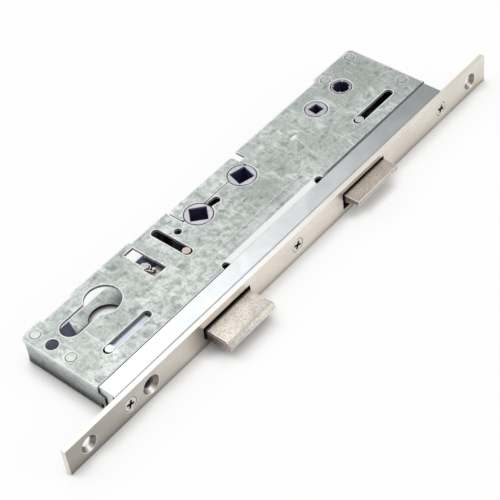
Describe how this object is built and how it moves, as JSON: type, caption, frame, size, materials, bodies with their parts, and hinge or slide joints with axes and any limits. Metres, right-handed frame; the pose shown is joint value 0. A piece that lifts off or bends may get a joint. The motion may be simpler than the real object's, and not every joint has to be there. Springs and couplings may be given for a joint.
{
  "type": "multipoint door lock gearcase",
  "caption": "Mortice gearcase of a multipoint door lock: flat steel case with faceplate, deadbolt, latch, handle followers, drive slide and profile cylinder opening.",
  "frame": {"origin": "on the profile cylinder's axis at the outer face of the base plate", "axes": "+X along the lock towards the top of the door, +Y from the faceplate into the door, +Z from the base plate to the cover plate"},
  "size_m": [0.2885, 0.0724, 0.0152],
  "materials": {
    "galvanised": "mottled galvanised sheet",
    "zinc_plate": "brushed zinc plated sheet",
    "faceplate_steel": "satin nickel plated, long brush marks",
    "screw_steel": "bright zinc plated",
    "rivet_steel": "bright turned steel",
    "dark_steel": "dark oiled steel",
    "spring_steel": "drawn spring wire",
    "latch_metal": "nickel plated, sanded",
    "deadbolt_metal": "nickel plated, fine cast skin",
    "brass_pin": "turned brass",
    "yellow_zinc": "yellow passivated zinc plate",
    "cast_zinc": "die cast zinc, lightly polished"
  },
  "bodies": {
    "case": {"case_tray": "galvanised", "cover_plate": "galvanised", "overlay_plate": "galvanised", "front_channel": "zinc_plate", "faceplate": "faceplate_steel", "faceplate_screws": "screw_steel", "spacer_rivets": "rivet_steel", "deadbolt_guide": "dark_steel", "latch_guide": "dark_steel", "slider_studs": "rivet_steel", "spring_post": "rivet_steel", "slider_spring": "spring_steel", "latch_spring": "spring_steel", "latch_spring_seat": "galvanised", "lower_follower_spring": "spring_steel", "upper_follower_spring": "spring_steel"},
    "deadbolt": {"deadbolt_head": "deadbolt_metal", "deadbolt_tail": "galvanised", "deadbolt_rivets": "rivet_steel", "deadbolt_pin": "brass_pin", "deadbolt_stump": "rivet_steel"},
    "latch": {"latch_head": "latch_metal", "latch_tail": "galvanised", "latch_rivets": "rivet_steel", "latch_spring_rod": "rivet_steel"},
    "drive": {"drive_slide": "galvanised", "lower_drive_pin": "rivet_steel", "upper_drive_pin": "rivet_steel", "fork_pin": "rivet_steel"},
    "handle_hub_lower": {"lower_follower": "cast_zinc"},
    "handle_hub_upper": {"upper_follower": "cast_zinc"},
    "gate": {"deadlock_slider": "yellow_zinc"},
    "snib": {"snib_hub": "cast_zinc", "snib_crank_pin": "rivet_steel"},
    "auxiliary": {"auxiliary_hub": "cast_zinc", "auxiliary_crank_pin": "rivet_steel"},
    "bar": {"snib_bar": "galvanised"}
  },
  "joints": [
    {"name": "deadbolt_slide", "type": "slide", "parent": "case", "child": "deadbolt", "axis": [0, 1, 0], "range_m": [0, 0.015]},
    {"name": "deadlock_slide", "type": "slide", "parent": "case", "child": "gate", "axis": [-1, 0, 0], "range_m": [0, 0.0025], "stiffness_N_per_m": 150, "springref_m": -0.004, "deforming": ["slider_spring"]},
    {"name": "lower_follower_turn", "type": "hinge", "parent": "case", "child": "handle_hub_lower", "pos_m": [0.062, 0, 0.007], "axis": [0, 0, 1], "range_deg": [0, 35], "stiffness_Nm_per_rad": 0.05, "springref_deg": -17.19, "deforming": ["lower_follower_spring"]},
    {"name": "latch_slide", "type": "slide", "parent": "case", "child": "latch", "axis": [0, 1, 0], "range_m": [0, 0.0085], "stiffness_N_per_m": 400, "springref_m": -0.01, "deforming": ["latch_spring"]},
    {"name": "upper_follower_turn", "type": "hinge", "parent": "case", "child": "handle_hub_upper", "pos_m": [0.092, 0, 0.007], "axis": [0, 0, 1], "range_deg": [0, 55.47], "stiffness_Nm_per_rad": 0.05, "springref_deg": -17.19, "deforming": ["upper_follower_spring"]},
    {"name": "drive_slide_travel", "type": "slide", "parent": "case", "child": "drive", "axis": [1, 0, 0], "range_m": [0, 0.0224]},
    {"name": "snib_turn", "type": "hinge", "parent": "case", "child": "snib", "pos_m": [0.1463, 0, 0.007], "axis": [0, 0, -1], "range_deg": [0, 45]},
    {"name": "auxiliary_turn", "type": "hinge", "parent": "case", "child": "auxiliary", "pos_m": [0.1656, 0, 0.007], "axis": [0, 0, -1], "range_deg": [0, 45]},
    {"name": "snib_bar_slide", "type": "slide", "parent": "case", "child": "bar", "axis": [-1, 0, 0], "range_m": [0, 0.00958]}
  ],
  "couplings": [
    {"joint": "lower_follower_turn", "follows": "latch_slide", "rad_per_m": 71.866},
    {"joint": "upper_follower_turn", "follows": "drive_slide_travel", "rad_per_m": 43.222},
    {"joint": "snib_turn", "follows": "snib_bar_slide", "rad_per_m": 82.008},
    {"joint": "auxiliary_turn", "follows": "snib_bar_slide", "rad_per_m": 82.008}
  ]
}
